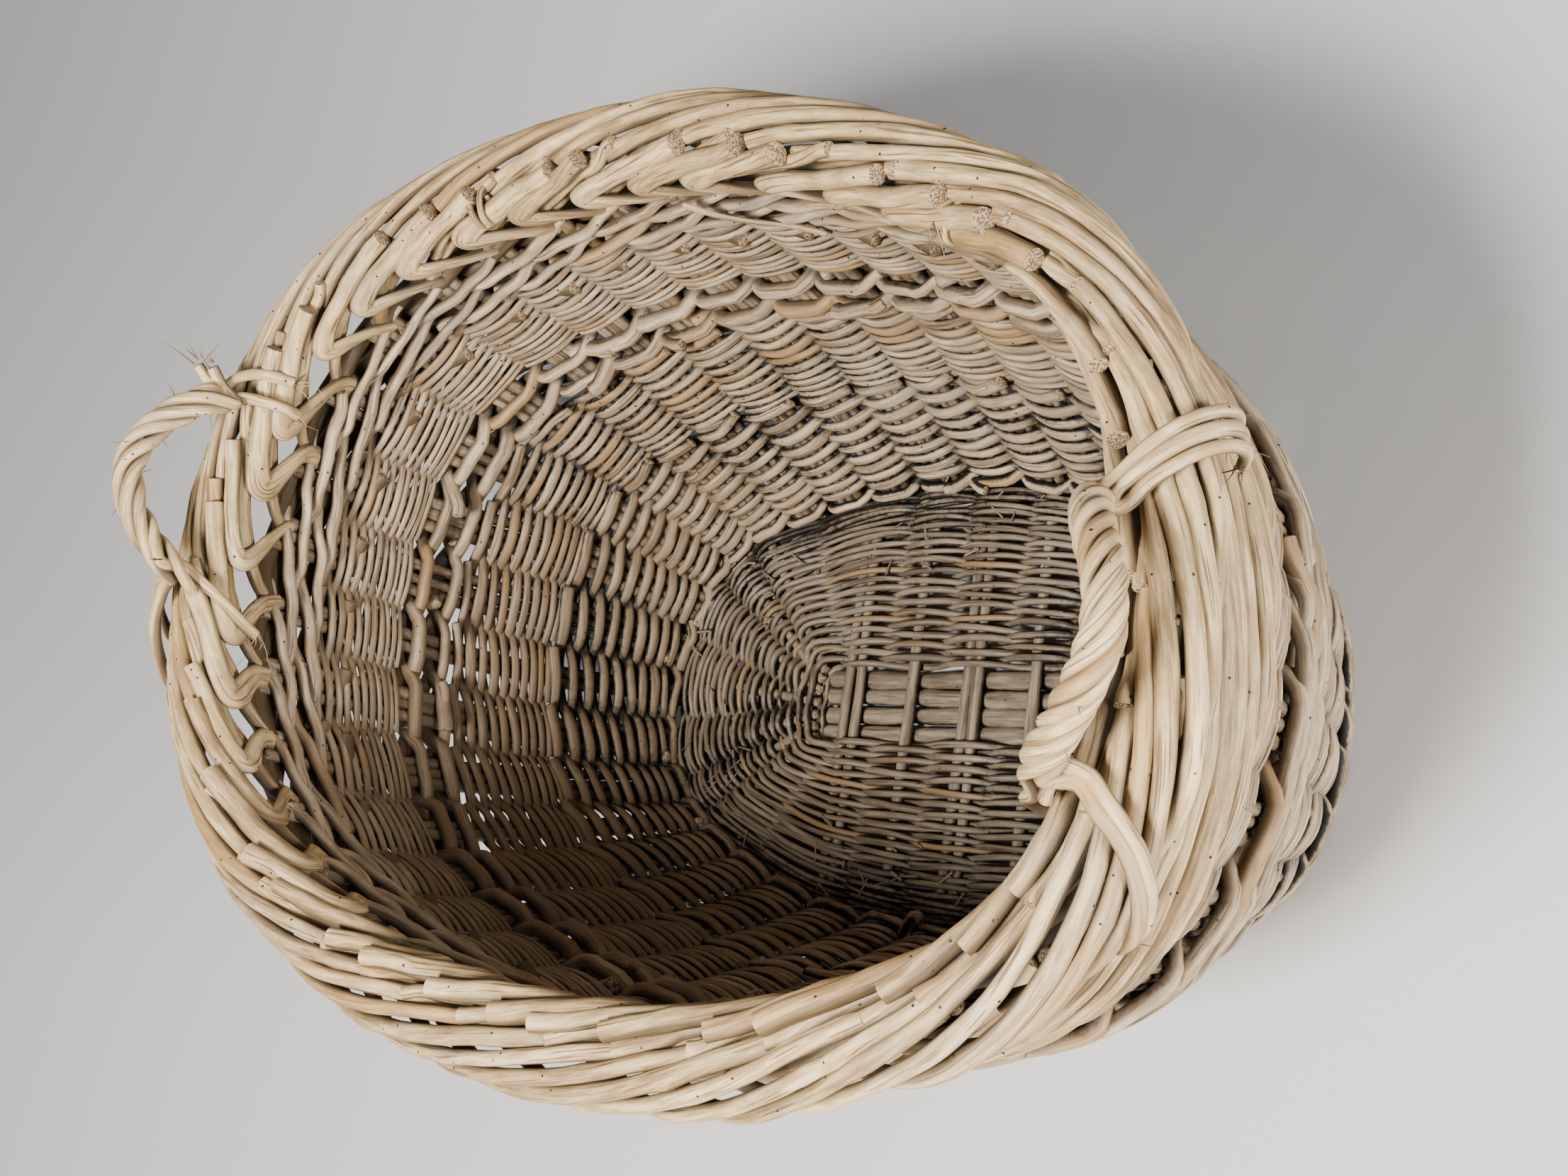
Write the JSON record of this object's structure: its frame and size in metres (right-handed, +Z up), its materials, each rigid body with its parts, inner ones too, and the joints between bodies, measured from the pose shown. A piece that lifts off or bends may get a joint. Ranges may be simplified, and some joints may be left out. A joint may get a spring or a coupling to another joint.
{
  "type": "log basket",
  "caption": "Large oval wicker log basket with flared woven walls, a thick rolled border, a stick-and-weave base and two roped bow handles.",
  "frame": {"origin": "on the floor under the middle of the basket, with the basket standing upright on its bottom wale", "axes": "+Z up through the mouth, +X towards one handle along the mouth's long axis, +Y across the mouth"},
  "size_m": [0.904, 0.6576, 0.557],
  "materials": {
    "wall_willow": "weathered unvarnished willow, matt",
    "base_willow": "weathered unvarnished willow, matt",
    "border_willow": "weathered unvarnished willow, matt",
    "handle_willow": "weathered unvarnished willow, matt",
    "stake_willow": "weathered unvarnished willow, matt"
  },
  "bodies": {
    "root": {"base_cross_stick_1": "base_willow", "base_cross_stick_2": "base_willow", "base_cross_stick_3": "base_willow", "base_cross_stick_4": "base_willow", "base_cross_stick_5": "base_willow", "base_end_sticks_left": "base_willow", "base_end_sticks_right": "base_willow", "base_long_stick_1": "base_willow", "base_long_stick_2": "base_willow", "base_long_stick_3": "base_willow", "base_long_stick_4": "base_willow", "base_weave_over": "base_willow", "base_weave_under": "base_willow", "border_butts_1": "border_willow", "border_butts_2": "border_willow", "border_rod_1": "border_willow", "border_rod_2": "border_willow", "border_rod_3": "border_willow", "border_rod_4": "border_willow", "border_rod_5": "border_willow", "border_rod_6": "border_willow", "bottom_wale": "wall_willow", "handle_left_lashing_back": "handle_willow", "handle_left_lashing_front": "handle_willow", "handle_left_strand_1": "handle_willow", "handle_left_strand_2": "handle_willow", "handle_left_strand_3": "handle_willow", "handle_right_lashing_back": "handle_willow", "handle_right_lashing_front": "handle_willow", "handle_right_strand_1": "handle_willow", "handle_right_strand_2": "handle_willow", "handle_right_strand_3": "handle_willow", "heavy_outer_wale": "wall_willow", "lower_wall_weave": "wall_willow", "middle_wall_weave": "wall_willow", "open_wale": "wall_willow", "top_wale": "wall_willow", "upper_wall_weave": "wall_willow", "wall_stakes_01": "stake_willow", "wall_stakes_02": "stake_willow", "wall_stakes_03": "stake_willow", "wall_stakes_04": "stake_willow", "wall_stakes_05": "stake_willow", "wall_stakes_06": "stake_willow", "wall_stakes_07": "stake_willow", "wall_stakes_08": "stake_willow", "wall_stakes_09": "stake_willow", "wall_stakes_10": "stake_willow"}
  },
  "joints": []
}
